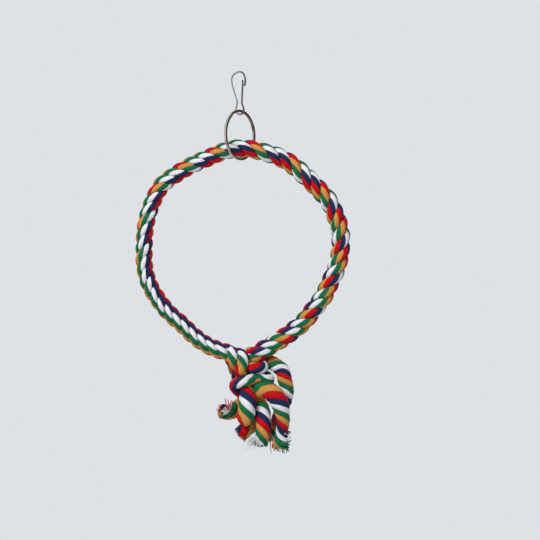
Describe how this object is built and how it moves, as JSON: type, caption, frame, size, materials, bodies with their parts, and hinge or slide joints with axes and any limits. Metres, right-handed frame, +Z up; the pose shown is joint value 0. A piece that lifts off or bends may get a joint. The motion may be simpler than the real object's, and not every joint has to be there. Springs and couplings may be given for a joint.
{
  "type": "rope bird swing",
  "caption": "Hoop of thick multicoloured cotton rope, knotted at the bottom with loose tails, hung from a split ring and a wire snap clip: a perch and swing for a small cage bird.",
  "frame": {"origin": "inside top of the snap clip's eye, where the clip hangs on a cage bar or hook", "axes": "+Z up along the hang, +X to the right in the hoop's plane, +Y away from the viewer, through the hoop"},
  "size_m": [0.1496, 0.0366, 0.263],
  "materials": {
    "steel_wire": "nickel-plated steel wire, bright, slightly brushed along its length",
    "steel_flat_wire": "nickel-plated flat spring-steel wire, bright",
    "cotton_rope": "soft-spun cotton, green, white, navy, red and tan yarns, matt and slightly fuzzy",
    "cotton_tail": "the same cotton, relaxed and fuller, with frayed cut ends"
  },
  "bodies": {
    "clip": {"clip_body": "steel_wire"},
    "gate": {"clip_gate": "steel_wire"},
    "ring": {"split_ring": "steel_flat_wire"},
    "rope": {"hoop_strand_1": "cotton_rope", "hoop_strand_2": "cotton_rope", "hoop_strand_3": "cotton_rope", "left_tail_1": "cotton_tail", "left_tail_2": "cotton_tail", "left_tail_3": "cotton_tail", "right_tail_1": "cotton_tail", "right_tail_2": "cotton_tail", "right_tail_3": "cotton_tail"}
  },
  "joints": [
    {"name": "gate_press", "type": "hinge", "parent": "clip", "child": "gate", "pos_m": [0.00123, 0, -0.0211], "axis": [0, -1, 0], "range_deg": [0, 15], "stiffness_Nm_per_rad": 0.1},
    {"name": "ring_swing", "type": "hinge", "parent": "clip", "child": "ring", "pos_m": [0, 0, -0.02679], "axis": [0.5779, 0.8161, 0], "range_deg": [-45, 45]},
    {"name": "hoop_swing", "type": "hinge", "parent": "ring", "child": "rope", "pos_m": [0, 0, -0.05294], "axis": [1, 0, 0], "range_deg": [-60, 60]}
  ]
}
